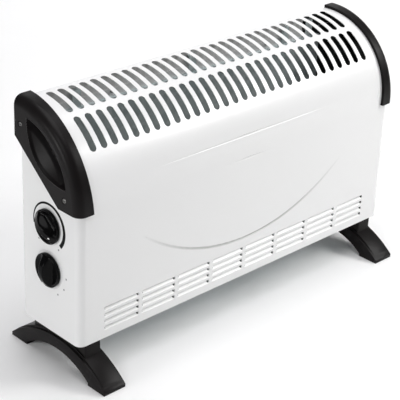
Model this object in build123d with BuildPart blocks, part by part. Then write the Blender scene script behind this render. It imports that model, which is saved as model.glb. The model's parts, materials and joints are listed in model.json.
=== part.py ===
from build123d import *
import math
import os

# Fan convector heater: a white sheet-steel casing on two black feet, with a black end cap and
# grip at each end, two dials on the left side, and the element, fan and switchgear inside.
# Millimetres. +Z is up, the louvred front faces -Y, and the origin is under the middle of the
# whole, on the floor. The dials stand out on the left only, so the casing sits to the right of it.

# --- casing -------------------------------------------------------------------------------------
body_length = 607.0
body_depth = 123.5
body_top = 371.0
body_base = 56.0
corner_r = 11.0                 # vertical corners, seen from above
curve_r = 118.0                 # quarter round from the front up to the top
sheet = 1.0
knob_reach = 15.5               # the dials stand this far out from the left side
cap_side = 6.5                  # end cap, proud of the casing's side
cap_cover = 4.5                 # end cap, proud of the front and the top
mid_x = (knob_reach - cap_side) / 2
front_y = -58.5
back_y = front_y + body_depth
mid_y = (front_y + back_y) / 2
half_length = body_length / 2
curve_y = front_y + curve_r
curve_z = body_top - curve_r
left_x = mid_x - half_length
right_x = mid_x + half_length

# --- top slots: two rows of round-ended slots round the curve -----------------------------------
slot_count = 30
slot_pitch = 18.05
slot_width = 10.5
slot_rows = ((47.75, 51.5), (76.5, 49.5))       # angle round the curve, length of the slot

# --- front louvres: lanced strips, bent inwards from their lower edge ---------------------------
louvre_columns = 8
louvre_rows = 4
louvre_pitch_x = 66.0
louvre_pitch_z = 9.8
louvre_width = 60.0
louvre_gap = 5.0
louvre_depth = 4.2
louvre_lip = 0.8
louvre_base_z = 69.0

# --- pressed lines on the front -----------------------------------------------------------------
smile_r = 314.0
smile_z = 119.5
smile_end_z = 187.0
press_r = 2.2                   # radius of the pressing tool
press_depth = 0.8
long_line_half = 195.0
long_line_angle = 12.8          # how far round the curve the long line lies
short_line_half = 52.0
short_line_z = 245.0

# --- openings in the casing's back and base -----------------------------------------------------
back_flange_side = 23.5
back_flange_top = 33.0
back_flange_base = 12.0
base_open_half_x = 248.0
base_flange = 12.5

# --- end caps -----------------------------------------------------------------------------------
cap_width = 22.0
cap_back = 1.5
cap_round = 10.0
cap_low_y = -22.0
cap_low_z = 248.0
cap_back_z = 322.0
grip_back = (39.0, 353.0)       # the two tips of the lens-shaped finger pocket, as (y, z)
grip_front = (-38.0, 281.0)
grip_low_bulge = 25.0
grip_high_bulge = 15.0
grip_depth = 26.0
grip_lip_depth = 4.0
grip_slope_run = 30.0
grip_wall = 2.2
grip_tip_r = 4.0
skirt_r = curve_r - 14.0        # skirt behind the cap that fits the opening in the casing's side
skirt_back_y = 46.0
skirt_low_z = 275.0
skirt_above_chord = 9.0
skirt_depth = 34.0
cap_screws = ((54.0, 340.0), (-34.0, 265.0))
cap_screw_recess = 4.0

# --- feet ---------------------------------------------------------------------------------------
foot_x = 277.5                  # centre of each foot from the middle of the casing
foot_width = 36.4
foot_half_depth = 100.0
foot_toe = 5.0
foot_crest = 43.0
foot_crown = 4.0
foot_crown_inset = 3.0
foot_arch_half = 66.0
foot_arch_z = 26.0
foot_pad = 4.0
riser_half_depth = 55.0
riser_width = 26.4
foot_screw_y = 30.0
foot_roof = 6.0

# --- dials --------------------------------------------------------------------------------------
dial_y = 3.5
thermostat_z = 213.5
selector_z = 149.5
knob_r = 24.0
knob_gap = 0.8
knob_skirt = 4.6
bar_width = 11.0
spindle_r = 3.0
spindle_fit = 0.05
bush_r = 5.0
thermostat_angle = -37.0        # where the pointer stands, anticlockwise from the front, from outside
selector_angle = -90.0

# --- inside -------------------------------------------------------------------------------------
galvanised = 0.8
shield_y = 57.0
shield_base = 130.0
shield_top = 335.0
partition_x = mid_x - 240.0
end_plate_x = mid_x + 262.0
plate_front_y = -50.0
element_y = 12.0
element_z = 218.0
element_pitch_y = 22.0
element_pitch_z = 20.0
card_count = 7
card_pitch = 76.0
coil_r = 3.5
rod_r = 2.0
fan_x = mid_x + 60.0
fan_y = 3.0
fan_r = 42.0
fan_hub_r = 11.0
fan_blades = 5
motor_z = 66.0
stator_height = 16.0
rotor_r = 11.7
shaft_r = 1.6
shaft_fit = 0.03
inlet_x = mid_x - 262.0
inlet_z = 92.0
inlet_r = 4.0
block_x = inlet_x + 4.0
block_y = element_y + element_pitch_y
wire_r = 1.1
wire_hole = (11.2, 90.0)
nut_thickness = 2.4
switch_height = 34.0
thermostat_width = 26.0
thermostat_depth = 24.0
selector_width = 34.0
selector_depth = 28.0
tab_length = 8.0                # push-on tabs of the switchgear
tab_width = 6.3
tab_thickness = 0.8

# --- small fixings ------------------------------------------------------------------------------
sheet_screw_r = 1.58            # thread radius of the screws into the sheet and the caps
sheet_screw_hole_r = 1.6
foot_screw_r = 1.93
foot_screw_hole_r = 1.95
motor_screw_r = 1.5
motor_screw_hole_r = 1.55
motor_screw_pitch = 36.0


os.makedirs("parts", exist_ok=True)


def body_block(inset):
    """The casing's closed form, drawn this far in from the sheet's outer face."""
    half = half_length - inset
    with BuildPart() as block:
        with BuildSketch(Plane.YZ.offset(mid_x - half)):
            with BuildLine():
                CenterArc((curve_y, curve_z), curve_r - inset, 90, 90)
                Polyline(
                    (curve_y, body_top - inset),
                    (back_y - inset, body_top - inset),
                    (back_y - inset, body_base + inset),
                    (front_y + inset, body_base + inset),
                    (front_y + inset, curve_z),
                )
            make_face()
        extrude(amount=2 * half)
        with BuildSketch(Plane.XY.offset(body_base)):
            with Locations((mid_x, mid_y)):
                RectangleRounded(2 * half, body_depth - 2 * inset, corner_r - inset)
        extrude(amount=body_top - body_base, mode=Mode.INTERSECT)
    return block


def curve_plane(angle, lift=0.0):
    """A plane that touches the curved sheet, this many degrees round from the upright front."""
    turn = math.radians(angle)
    outward = (0, -math.cos(turn), math.sin(turn))
    reach = curve_r + lift
    origin = (mid_x, curve_y + reach * outward[1], curve_z + reach * outward[2])
    return Plane(origin=origin, x_dir=(1, 0, 0), z_dir=outward)


# the finger pocket's middle, the way its upper edge lies from there, and the tops of its two arcs
grip_run_y = grip_back[0] - grip_front[0]
grip_run_z = grip_back[1] - grip_front[1]
grip_span = math.hypot(grip_run_y, grip_run_z)
grip_up = Vector(-grip_run_z / grip_span, grip_run_y / grip_span)
grip_middle = Vector(grip_back[0] + grip_front[0], grip_back[1] + grip_front[1]) / 2
grip_low = grip_middle - grip_up * grip_low_bulge
grip_high = grip_middle + grip_up * grip_high_bulge


def grip_outline(growth):
    """The lens outline of a finger pocket, drawn on a YZ plane and grown by this much."""
    with BuildSketch() as lens:
        with BuildLine():
            ThreePointArc(grip_front, grip_low, grip_back)
            ThreePointArc(grip_back, grip_high, grip_front)
        make_face()
        fillet(lens.vertices(), grip_tip_r)
        if growth > 0:
            offset(amount=growth)
    return lens.sketch


def skirt_outline(growth):
    """The outline of the skirt behind an end cap, drawn on a YZ plane and grown by this much."""
    chord_y = back_y + cap_back - cap_low_y
    chord_z = cap_back_z - cap_low_z
    slant = chord_z / chord_y
    lift = skirt_above_chord * math.hypot(1, slant)
    chord_at_back = cap_low_z + lift + (skirt_back_y - cap_low_y) * slant
    chord_at_low = cap_low_y + (skirt_low_z - cap_low_z - lift) / slant
    arc_start = math.degrees(math.acos((skirt_back_y - curve_y) / skirt_r))
    arc_end = 180 - math.degrees(math.asin((skirt_low_z - curve_z) / skirt_r))
    with BuildSketch() as skirt:
        with BuildLine():
            arc = CenterArc((curve_y, curve_z), skirt_r, arc_start, arc_end - arc_start)
            Polyline(arc @ 1, (chord_at_low, skirt_low_z), (skirt_back_y, chord_at_back), arc @ 0)
        make_face()
        fillet(skirt.vertices(), 3)
        offset(amount=growth)
    return skirt.sketch


def side_plane(x):
    """The upright plane at this x that looks along the casing, drawn in (y, z)."""
    return Plane.YZ.offset(x)


back_screw_spots = []
base_screw_spots = []
foot_screw_spots = []
for side in (-1, 1):
    for z in (100.0, 200.0, 300.0):
        back_screw_spots.append((mid_x + side * (half_length - 17.5), z))
    for z in (62.5, 342.0):
        back_screw_spots.append((mid_x + side * 150.0, z))
    for y in (front_y + 7.0, back_y - 7.0):
        base_screw_spots.append((mid_x + side * 200.0, y))
    for y in (-foot_screw_y, foot_screw_y):
        foot_screw_spots.append((mid_x + side * foot_x, y))

# --- front shell: front, curved top and both sides, pressed from one sheet ----------------------
with BuildPart() as front_shell:
    add(body_block(0).part)
    fillet(front_shell.faces().sort_by(Axis.Z)[0].edges(), sheet * 1.2)
    add(body_block(sheet).part, mode=Mode.SUBTRACT)
    with BuildSketch(Plane.XY.offset(body_base - sheet)):
        with Locations((mid_x, mid_y)):
            RectangleRounded(2 * base_open_half_x, body_depth - 2 * base_flange, 6)
    extrude(amount=3 * sheet, mode=Mode.SUBTRACT)
    back_open_height = body_top - back_flange_top - body_base - back_flange_base
    with BuildSketch(Plane.XZ.offset(-(back_y + sheet))):
        with Locations((mid_x, body_base + back_flange_base + back_open_height / 2)):
            RectangleRounded(body_length - 2 * back_flange_side, back_open_height, 6)
    extrude(amount=3 * sheet, mode=Mode.SUBTRACT)
    # the two rows of slots round the curve
    for slot_angle, slot_length in slot_rows:
        with BuildSketch(curve_plane(slot_angle, lift=3)):
            with GridLocations(slot_pitch, 1, slot_count, 1):
                SlotOverall(slot_length, slot_width, rotation=90)
        extrude(amount=-16, mode=Mode.SUBTRACT)
    # louvres: each opening has a rolled lip above it and a strip bent in from its lower edge
    first_column = mid_x - louvre_pitch_x * (louvre_columns - 1) / 2 - louvre_width / 2
    for column in range(louvre_columns):
        column_plane = side_plane(first_column + column * louvre_pitch_x)
        with BuildSketch(column_plane):
            for row in range(louvre_rows):
                hinge = louvre_base_z + row * louvre_pitch_z
                lip = hinge + louvre_gap
                with BuildLine():
                    Polyline(
                        (front_y - sheet, hinge),
                        (front_y - sheet, lip + 2 * louvre_lip),
                        (front_y + louvre_lip, lip),
                        (front_y + 2 * sheet, lip),
                        (front_y + 2 * sheet, hinge),
                        close=True,
                    )
                make_face()
        extrude(amount=louvre_width, mode=Mode.SUBTRACT)
        with BuildSketch(column_plane):
            for row in range(louvre_rows):
                hinge = louvre_base_z + row * louvre_pitch_z
                with BuildLine():
                    Polyline(
                        (front_y, hinge),
                        (front_y + louvre_depth, hinge + louvre_gap - 0.4),
                        (front_y + louvre_depth + sheet, hinge + louvre_gap - 1.0),
                        (front_y + sheet, hinge - 0.4),
                        (front_y + 0.4, hinge - 0.4),
                        close=True,
                    )
                make_face()
        extrude(amount=louvre_width)
    # the smiling line: a ring-shaped tool, tilted a little so that the line fades at both ends
    smile_tilt = press_depth / (smile_end_z - smile_z)
    smile_y = front_y - (press_r - press_depth) - smile_r * smile_tilt
    smile_plane = Plane(
        origin=(mid_x, smile_y, smile_z + smile_r), x_dir=(1, 0, 0), z_dir=(0, -1, -smile_tilt)
    )
    with Locations(smile_plane):
        Torus(smile_r, press_r, mode=Mode.SUBTRACT)
    # the two straight lines: a rod that thins towards both ends, so that they fade too
    lift = press_r - press_depth
    straight_lines = (
        (curve_plane(long_line_angle, lift).origin, long_line_half),
        (Vector(mid_x, front_y - lift, short_line_z), short_line_half),
    )
    for line_centre, line_half in straight_lines:
        for way in (-1, 1):
            middle = line_centre + Vector(way * line_half / 2, 0, 0)
            with Locations(Plane(origin=middle, x_dir=(0, 1, 0), z_dir=(way, 0, 0))):
                Cone(press_r, lift, line_half, mode=Mode.SUBTRACT)
    # an opening for the end cap's skirt, and its two screw holes, in each side
    for side in (-1, 1):
        with BuildSketch(side_plane(mid_x + side * (half_length + 1))):
            add(skirt_outline(0.4))
            with Locations(*cap_screws):
                Circle(sheet_screw_hole_r)
        extrude(amount=-side * 4, mode=Mode.SUBTRACT)
    # holes for the two dial bushes
    with BuildSketch(side_plane(left_x - 1)):
        with Locations((dial_y, thermostat_z), (dial_y, selector_z)):
            Circle(bush_r + 0.2)
    extrude(amount=4, mode=Mode.SUBTRACT)
    # holes for the feet, the base grille and the back panel
    with BuildSketch(Plane.XY.offset(body_base - 1)):
        with Locations(*foot_screw_spots):
            Circle(foot_screw_hole_r)
        with Locations(*base_screw_spots):
            Circle(sheet_screw_hole_r)
    extrude(amount=3, mode=Mode.SUBTRACT)
    with BuildSketch(Plane.XZ.offset(-(back_y + 1))):
        with Locations(*back_screw_spots):
            Circle(sheet_screw_hole_r)
    extrude(amount=3, mode=Mode.SUBTRACT)
front_shell.part.label = "front_shell"
export_step(front_shell.part, "parts/front_shell.step")


# --- back panel: a flat sheet behind the back flanges, with air slots and two wall keyholes ---------
panel_low_z = body_base + 2.5 * sheet
panel_high_z = body_top - 25.0
keyhole_half = 200.0
keyhole_z = 292.0
keyhole_r = 5.0
with BuildPart() as back_panel:
    with BuildSketch(Plane.XZ.offset(-(back_y - sheet))):
        with Locations((mid_x, (panel_low_z + panel_high_z) / 2)):
            Rectangle(body_length - 2 * (corner_r + 1.5), panel_high_z - panel_low_z)
    extrude(amount=sheet)
    with BuildSketch(Plane.XZ.offset(-back_y)):
        with Locations((mid_x, 108), (mid_x, 160)):
            with GridLocations(18, 1, 22, 1):
                SlotOverall(38, 6, rotation=90)
        with Locations((mid_x - keyhole_half, keyhole_z), (mid_x + keyhole_half, keyhole_z)):
            Circle(keyhole_r)
            with Locations((0, 5.5)):
                SlotOverall(11, 5, rotation=90)
        with Locations((inlet_x, inlet_z)):
            Circle(inlet_r + 3)
        with Locations(*back_screw_spots):
            Circle(sheet_screw_hole_r)
    extrude(amount=3 * sheet, mode=Mode.SUBTRACT)
back_panel.part.label = "back_panel"
export_step(back_panel.part, "parts/back_panel.step")

# --- base grille: the air inlet under the casing ------------------------------------------------
with BuildPart() as base_grille:
    with BuildSketch(Plane.XY.offset(body_base + sheet)):
        with Locations((mid_x, mid_y)):
            RectangleRounded(2 * base_open_half_x + 18, body_depth - 4.0, 5)
            with GridLocations(16, 46, 28, 2):
                SlotOverall(40, 8, rotation=90, mode=Mode.SUBTRACT)
        with Locations(*base_screw_spots):
            Circle(sheet_screw_hole_r, mode=Mode.SUBTRACT)
    extrude(amount=sheet)
base_grille.part.label = "base_grille"
export_step(base_grille.part, "parts/base_grille.step")


def pan_screw(shank_r, shank_length, head_r, head_height):
    """A cross-recess screw whose head's underside lies on the plane and whose shank runs down."""
    with BuildPart() as screw:
        Cylinder(shank_r, shank_length, align=(Align.CENTER, Align.CENTER, Align.MAX))
        Cylinder(head_r, head_height, align=(Align.CENTER, Align.CENTER, Align.MIN))
        fillet(screw.faces().sort_by(Axis.Z)[-1].edges(), head_height * 0.45)
        with BuildSketch(Plane.XY.offset(head_height)):
            Rectangle(head_r * 1.1, head_r * 0.24)
            Rectangle(head_r * 0.24, head_r * 1.1)
        extrude(amount=-head_height * 0.6, mode=Mode.SUBTRACT)
    return screw.part


# --- back screws and base screws ----------------------------------------------------------------
back_screw = pan_screw(sheet_screw_r, 6, 3.8, 2.2)
with BuildPart() as back_screws:
    for x, z in back_screw_spots:
        with Locations(Plane(origin=(x, back_y, z), x_dir=(1, 0, 0), z_dir=(0, 1, 0))):
            add(back_screw)
back_screws.part.label = "back_screws"
export_step(back_screws.part, "parts/back_screws.step")

with BuildPart() as base_screws:
    for x, y in base_screw_spots:
        with Locations(Plane(origin=(x, y, body_base), x_dir=(1, 0, 0), z_dir=(0, 0, -1))):
            add(back_screw)
base_screws.part.label = "base_screws"
export_step(base_screws.part, "parts/base_screws.step")


# --- end caps: a black moulding over each top corner, with a finger pocket to lift the heater by ----
def end_cap(side):
    outer_x = mid_x + side * (half_length + cap_side)
    inner_x = outer_x - side * cap_width
    cap_top = body_top + cap_cover
    cap_rear = back_y + cap_back
    with BuildPart() as cap:
        with BuildSketch(side_plane(inner_x)):
            with BuildLine():
                CenterArc((curve_y, curve_z), curve_r + cap_cover, 90, 90)
                Polyline(
                    (curve_y, cap_top),
                    (cap_rear, cap_top),
                    (cap_rear, cap_back_z),
                    (cap_low_y, cap_low_z),
                    (front_y - cap_cover, cap_low_z),
                    (front_y - cap_cover, curve_z),
                )
            make_face()
        extrude(amount=side * cap_width)
        outer_face = cap.faces().sort_by(Axis.X)[-1 if side > 0 else 0]
        chord_middle = Vector(outer_x, (cap_rear + cap_low_y) / 2, (cap_back_z + cap_low_z) / 2)
        low_middle = Vector(outer_x, (front_y - cap_cover + cap_low_y) / 2, cap_low_z)
        rim = [
            edge for edge in outer_face.edges()
            if min((edge.center() - spot).length for spot in (chord_middle, low_middle)) > 1
        ]
        fillet(rim, cap_round)
        add(body_block(0).part, mode=Mode.SUBTRACT)
        # the skirt, the pocket's walls, then the pocket with its floor sloping in from the lower lip
        with BuildSketch(side_plane(outer_x - side * 2)):
            add(skirt_outline(0))
            add(skirt_outline(-grip_wall), mode=Mode.SUBTRACT)
        extrude(amount=-side * (skirt_depth - 2))
        with BuildSketch(side_plane(outer_x - side * 2)):
            add(grip_outline(grip_wall))
        extrude(amount=-side * (grip_depth + grip_wall - 2))
        add(finger_pocket(side, outer_x), mode=Mode.SUBTRACT)
        # two recessed holes for the screws that hold the cap
        with BuildSketch(side_plane(outer_x)):
            with Locations(*cap_screws):
                Circle(4.3)
        extrude(amount=-side * cap_screw_recess, mode=Mode.SUBTRACT)
        with BuildSketch(side_plane(outer_x)):
            with Locations(*cap_screws):
                Circle(2.1)
        extrude(amount=-side * (cap_side + 1), mode=Mode.SUBTRACT)
    return cap


def finger_pocket(side, outer_x):
    """The hollow that the fingers go into: a lens, deepest under its upper edge."""
    slope = (grip_depth - grip_lip_depth) / grip_slope_run
    with BuildPart() as pocket:
        with BuildSketch(side_plane(outer_x + side)):
            add(grip_outline(0))
        extrude(amount=-side * (grip_depth + 1))
        floor_origin = (outer_x - side * grip_lip_depth, grip_low.X, grip_low.Y)
        floor = Plane(origin=floor_origin, z_dir=(side, slope * grip_up.X, slope * grip_up.Y))
        split(bisect_by=floor, keep=Keep.TOP)
    return pocket.part


left_end_cap = end_cap(-1)
left_end_cap.part.label = "left_end_cap"
export_step(left_end_cap.part, "parts/left_end_cap.step")

right_end_cap = end_cap(1)
right_end_cap.part.label = "right_end_cap"
export_step(right_end_cap.part, "parts/right_end_cap.step")

cap_screw = pan_screw(sheet_screw_r, 8, 3.6, 2.2)
with BuildPart() as cap_screws_set:
    for side in (-1, 1):
        seat_x = mid_x + side * (half_length + cap_side - cap_screw_recess)
        for y, z in cap_screws:
            with Locations(Plane(origin=(seat_x, y, z), x_dir=(0, 1, 0), z_dir=(side, 0, 0))):
                add(cap_screw)
cap_screws_set.part.label = "end_cap_screws"
export_step(cap_screws_set.part, "parts/end_cap_screws.step")


# --- feet: an arched black moulding across each end of the base ---------------------------------
def foot(side):
    x = mid_x + side * foot_x
    crown_width = foot_width - 2 * foot_crown_inset
    with BuildPart() as moulding:
        for width, rise in ((foot_width, 0.0), (crown_width, foot_crown)):
            reach = foot_half_depth - (2.5 if rise else 0.0)
            toe = foot_toe + rise / 2
            with BuildSketch(side_plane(x - width / 2)):
                with BuildLine():
                    ThreePointArc((-reach, toe), (0, foot_crest + rise), (reach, toe))
                    Polyline(
                        (reach, toe),
                        (reach, 0),
                        (foot_arch_half, 0),
                        (foot_arch_half, foot_pad),
                    )
                    ThreePointArc(
                        (foot_arch_half, foot_pad), (0, foot_arch_z), (-foot_arch_half, foot_pad)
                    )
                    Polyline(
                        (-foot_arch_half, foot_pad),
                        (-foot_arch_half, 0),
                        (-reach, 0),
                        (-reach, toe),
                    )
                make_face()
            extrude(amount=width)
        with BuildSketch(Plane.XY.offset(foot_arch_z + 2)):
            with Locations((x, 0)):
                RectangleRounded(riser_width, 2 * riser_half_depth, 2)
        extrude(amount=body_base - foot_arch_z - 2)
        # two hollows under the arch, with the screws up through their roofs
        with BuildSketch(Plane.XY):
            with Locations((x, -foot_screw_y), (x, foot_screw_y)):
                RectangleRounded(18, 44, 3)
        extrude(amount=body_base - foot_roof, mode=Mode.SUBTRACT)
        with BuildSketch(Plane.XY):
            with Locations((x, -foot_screw_y), (x, foot_screw_y)):
                Circle(2.1)
        extrude(amount=body_base + 1, mode=Mode.SUBTRACT)
    return moulding


left_foot = foot(-1)
left_foot.part.label = "left_foot"
export_step(left_foot.part, "parts/left_foot.step")

right_foot = foot(1)
right_foot.part.label = "right_foot"
export_step(right_foot.part, "parts/right_foot.step")

foot_screw = pan_screw(foot_screw_r, 12, 4.0, 2.6)
with BuildPart() as foot_screws:
    for x, y in foot_screw_spots:
        seat = Plane(origin=(x, y, body_base - foot_roof), x_dir=(1, 0, 0), z_dir=(0, 0, -1))
        with Locations(seat):
            add(foot_screw)
foot_screws.part.label = "foot_screws"
export_step(foot_screws.part, "parts/foot_screws.step")


# --- dials: a round knob with a grip bar, a white pointer, and the spindle it turns -------------
knob_base_x = left_x - knob_gap
knob_top = knob_reach - knob_gap
pointer_r = 1.3
pointer_reach = 16.0            # the pointer's distance from the dial's middle
pointer_seat = knob_skirt + 3.0
rib_reach = knob_r - 0.8
spindle_reach = 9.0


def dial_plane(z, angle):
    """Plane on the casing's side, looking out, with its x axis where the pointer stands."""
    turn = math.radians(angle)
    return Plane(
        origin=(knob_base_x, dial_y, z), x_dir=(0, -math.cos(turn), math.sin(turn)), z_dir=(-1, 0, 0)
    )


def grip_rib(plane):
    """The rib across a dial's face that the fingers turn it by: an arch from rim to rim."""
    foot_z = knob_skirt - 1
    with BuildPart() as rib:
        with BuildSketch(Plane(origin=plane.origin, x_dir=plane.x_dir, z_dir=-plane.y_dir)):
            with BuildLine():
                ThreePointArc((-rib_reach, foot_z), (0, knob_top), (rib_reach, foot_z))
                Line((rib_reach, foot_z), (-rib_reach, foot_z))
            make_face()
        extrude(amount=bar_width / 2, both=True)
        fillet(rib.edges().filter_by(GeomType.CIRCLE), 1.4)
    return rib.part


def knob(plane):
    with BuildPart() as dial:
        with BuildSketch(plane):
            Circle(knob_r)
        extrude(amount=knob_skirt)
        fillet(dial.edges().sort_by(Axis.X)[0], 1.4)
        add(grip_rib(plane))
        with BuildSketch(plane.offset(pointer_seat)):
            with Locations((pointer_reach, 0)):
                Circle(pointer_r)
        extrude(amount=knob_top, mode=Mode.SUBTRACT)
        with BuildSketch(plane):
            Circle(spindle_r)
        extrude(amount=spindle_reach, mode=Mode.SUBTRACT)
    return dial


def pointer(plane):
    with BuildPart() as dot:
        with BuildSketch(plane.offset(pointer_seat)):
            with Locations((pointer_reach, 0)):
                Circle(pointer_r)
        extrude(amount=knob_top)
        add(grip_rib(plane), mode=Mode.INTERSECT)
    return dot


def spindle(plane, depth):
    with BuildPart() as stem:
        with BuildSketch(plane.offset(-depth)):
            Circle(spindle_r)
        extrude(amount=depth + spindle_reach)
        with BuildSketch(plane.offset(3)):
            with Locations((0, spindle_r)):
                Rectangle(2 * spindle_r, 1.6)
        extrude(amount=spindle_reach - 3, mode=Mode.SUBTRACT)
        chamfer(stem.faces().sort_by(Axis.X)[0].edges(), 0.4)
    return stem


thermostat_plane = dial_plane(thermostat_z, thermostat_angle)
selector_plane = dial_plane(selector_z, selector_angle)
spindle_depth = 12.0

thermostat_knob = knob(thermostat_plane)
thermostat_knob.part.label = "thermostat_knob"
export_step(thermostat_knob.part, "parts/thermostat_knob.step")

thermostat_pointer = pointer(thermostat_plane)
thermostat_pointer.part.label = "thermostat_pointer"
export_step(thermostat_pointer.part, "parts/thermostat_pointer.step")

thermostat_spindle = spindle(thermostat_plane, spindle_depth)
thermostat_spindle.part.label = "thermostat_spindle"
export_step(thermostat_spindle.part, "parts/thermostat_spindle.step")

selector_knob = knob(selector_plane)
selector_knob.part.label = "selector_knob"
export_step(selector_knob.part, "parts/selector_knob.step")

selector_pointer = pointer(selector_plane)
selector_pointer.part.label = "selector_pointer"
export_step(selector_pointer.part, "parts/selector_pointer.step")

selector_spindle = spindle(selector_plane, spindle_depth)
selector_spindle.part.label = "selector_spindle"
export_step(selector_spindle.part, "parts/selector_spindle.step")


# --- switchgear behind the dials ----------------------------------------------------------------
def switch_body(z, width, depth, tab_rows):
    """A moulded switch: its bush comes out through the side, and its tabs point inwards."""
    with BuildPart() as switch:
        with BuildSketch(side_plane(left_x + sheet + nut_thickness)):
            with Locations((dial_y, z)):
                RectangleRounded(width, switch_height, 2)
        extrude(amount=depth)
        fillet(switch.faces().sort_by(Axis.X)[-1].edges(), 1)
        with BuildSketch(side_plane(left_x - 0.4)):
            with Locations((dial_y, z)):
                Circle(bush_r)
        extrude(amount=sheet + 3)
        with BuildSketch(side_plane(left_x + sheet + nut_thickness + depth)):
            with Locations((dial_y, z)):
                with GridLocations(width / 2.2, switch_height / (tab_rows + 1), 2, tab_rows):
                    Rectangle(tab_thickness, tab_width)
        extrude(amount=tab_length)
        with BuildSketch(side_plane(left_x - 1)):
            with Locations((dial_y, z)):
                Circle(spindle_r + spindle_fit)
        extrude(amount=spindle_depth + 0.6, mode=Mode.SUBTRACT)
    return switch


thermostat_body = switch_body(thermostat_z, thermostat_width, thermostat_depth, 1)
thermostat_body.part.label = "thermostat_body"
export_step(thermostat_body.part, "parts/thermostat_body.step")

selector_switch = switch_body(selector_z, selector_width, selector_depth, 2)
selector_switch.part.label = "selector_switch"
export_step(selector_switch.part, "parts/selector_switch.step")

# the nuts that clamp each bush to the side, on its inside
with BuildPart() as bush_nuts:
    with BuildSketch(side_plane(left_x + sheet)):
        with Locations((dial_y, thermostat_z), (dial_y, selector_z)):
            RegularPolygon(8, 6)
            Circle(bush_r, mode=Mode.SUBTRACT)
    extrude(amount=nut_thickness)
bush_nuts.part.label = "bush_nuts"
export_step(bush_nuts.part, "parts/bush_nuts.step")

# --- cord inlet bush in the back panel, and the terminal block behind it ------------------------
with BuildPart() as cord_inlet_bush:
    with BuildSketch(Plane.XZ.offset(-(back_y - 2 * sheet - 9))):
        with Locations((inlet_x, inlet_z)):
            Circle(inlet_r + 3)
    extrude(amount=-(9 + 2 * sheet + 4))
    with BuildSketch(Plane.XZ.offset(-(back_y - sheet))):
        with Locations((inlet_x, inlet_z)):
            Circle(inlet_r + 6)
    extrude(amount=-4)
    fillet(cord_inlet_bush.faces().sort_by(Axis.Y)[-1].edges(), 0.8)
    with BuildSketch(Plane.XZ.offset(-(back_y - 20))):
        with Locations((inlet_x, inlet_z)):
            Circle(inlet_r)
    extrude(amount=-40, mode=Mode.SUBTRACT)
cord_inlet_bush.part.label = "cord_inlet_bush"
export_step(cord_inlet_bush.part, "parts/cord_inlet_bush.step")

with BuildPart() as terminal_block:
    with Locations((block_x, block_y, body_base + 2 * sheet + 8)):
        Box(26, 14, 12)
        with Locations((0, 0, 6)):
            with GridLocations(9, 1, 3, 1):
                Cylinder(3.2, 5, align=(Align.CENTER, Align.CENTER, Align.MIN))
                Hole(2.2, depth=5)
    with Locations((block_x, block_y, body_base + 2 * sheet)):
        Box(34, 9, 2, align=(Align.CENTER, Align.CENTER, Align.MIN))
terminal_block.part.label = "terminal_block"
export_step(terminal_block.part, "parts/terminal_block.step")

# --- heat shield: a galvanised sheet that stands off the back panel -----------------------------
shield_left = mid_x - 238.0
shield_right = end_plate_x + galvanised
with BuildPart() as heat_shield:
    with BuildSketch(side_plane(shield_left)):
        with BuildLine():
            Polyline(
                (shield_y, shield_base),
                (back_y - 2 * sheet, shield_base),
                (back_y - 2 * sheet, shield_base + galvanised),
                (shield_y + galvanised, shield_base + galvanised),
                (shield_y + galvanised, shield_top - galvanised),
                (back_y - 2 * sheet, shield_top - galvanised),
                (back_y - 2 * sheet, shield_top),
                (shield_y, shield_top),
                close=True,
            )
        make_face()
    extrude(amount=shield_right - shield_left)
heat_shield.part.label = "heat_shield"
export_step(heat_shield.part, "parts/heat_shield.step")


# --- the two upright plates that carry the element ----------------------------------------------
rod_spots = [(element_y + side * element_pitch_y / 2, element_z) for side in (-1, 1)]
coil_spots = [
    (element_y + across * element_pitch_y, element_z + up * element_pitch_z)
    for across in (-1, 1) for up in (-1, 1)
]


def upright(x, top, foot_way):
    """A galvanised plate across the casing, with a foot turned out along the base grille."""
    low = body_base + 2 * sheet
    with BuildPart() as plate:
        with BuildSketch(side_plane(x)):
            with Locations(((plate_front_y + shield_y) / 2, (low + top) / 2)):
                Rectangle(shield_y - 0.3 - plate_front_y, top - low)
            with Locations(*rod_spots):
                Circle(rod_r + 0.05, mode=Mode.SUBTRACT)
            with Locations(*coil_spots):
                Circle(coil_r + 2.5, mode=Mode.SUBTRACT)
            with Locations(wire_hole):
                Circle(3, mode=Mode.SUBTRACT)
        extrude(amount=galvanised)
        with BuildSketch(side_plane(x)):
            with Locations(((plate_front_y + shield_y) / 2, low)):
                Rectangle(80, galvanised, align=(Align.CENTER, Align.MIN))
        extrude(amount=foot_way * 12)
    return plate


partition = upright(partition_x, 272, 1)
partition.part.label = "partition"
export_step(partition.part, "parts/partition.step")

end_plate = upright(end_plate_x, 262, -1)
end_plate.part.label = "end_plate"
export_step(end_plate.part, "parts/end_plate.step")

# --- element: mica cards on two rods, with four open coils strung through them ------------------
card_y = element_pitch_y * 2 + 16
card_z = element_pitch_z * 2 + 16
card_thickness = 1.0
with BuildPart() as mica_cards:
    first_card = (partition_x + end_plate_x) / 2 - card_pitch * (card_count - 1) / 2
    for card in range(card_count):
        with BuildSketch(side_plane(first_card + card * card_pitch)):
            with Locations((element_y, element_z)):
                RectangleRounded(card_y, card_z, 5)
            with Locations(*rod_spots):
                Circle(rod_r + 0.05, mode=Mode.SUBTRACT)
            with Locations(*coil_spots):
                Circle(coil_r, mode=Mode.SUBTRACT)
        extrude(amount=card_thickness)
mica_cards.part.label = "mica_cards"
export_step(mica_cards.part, "parts/mica_cards.step")

with BuildPart() as element_rods:
    with BuildSketch(side_plane(partition_x - 4)):
        with Locations(*rod_spots):
            Circle(rod_r)
    extrude(amount=end_plate_x - partition_x + 8)
element_rods.part.label = "element_rods"
export_step(element_rods.part, "parts/element_rods.step")

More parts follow.
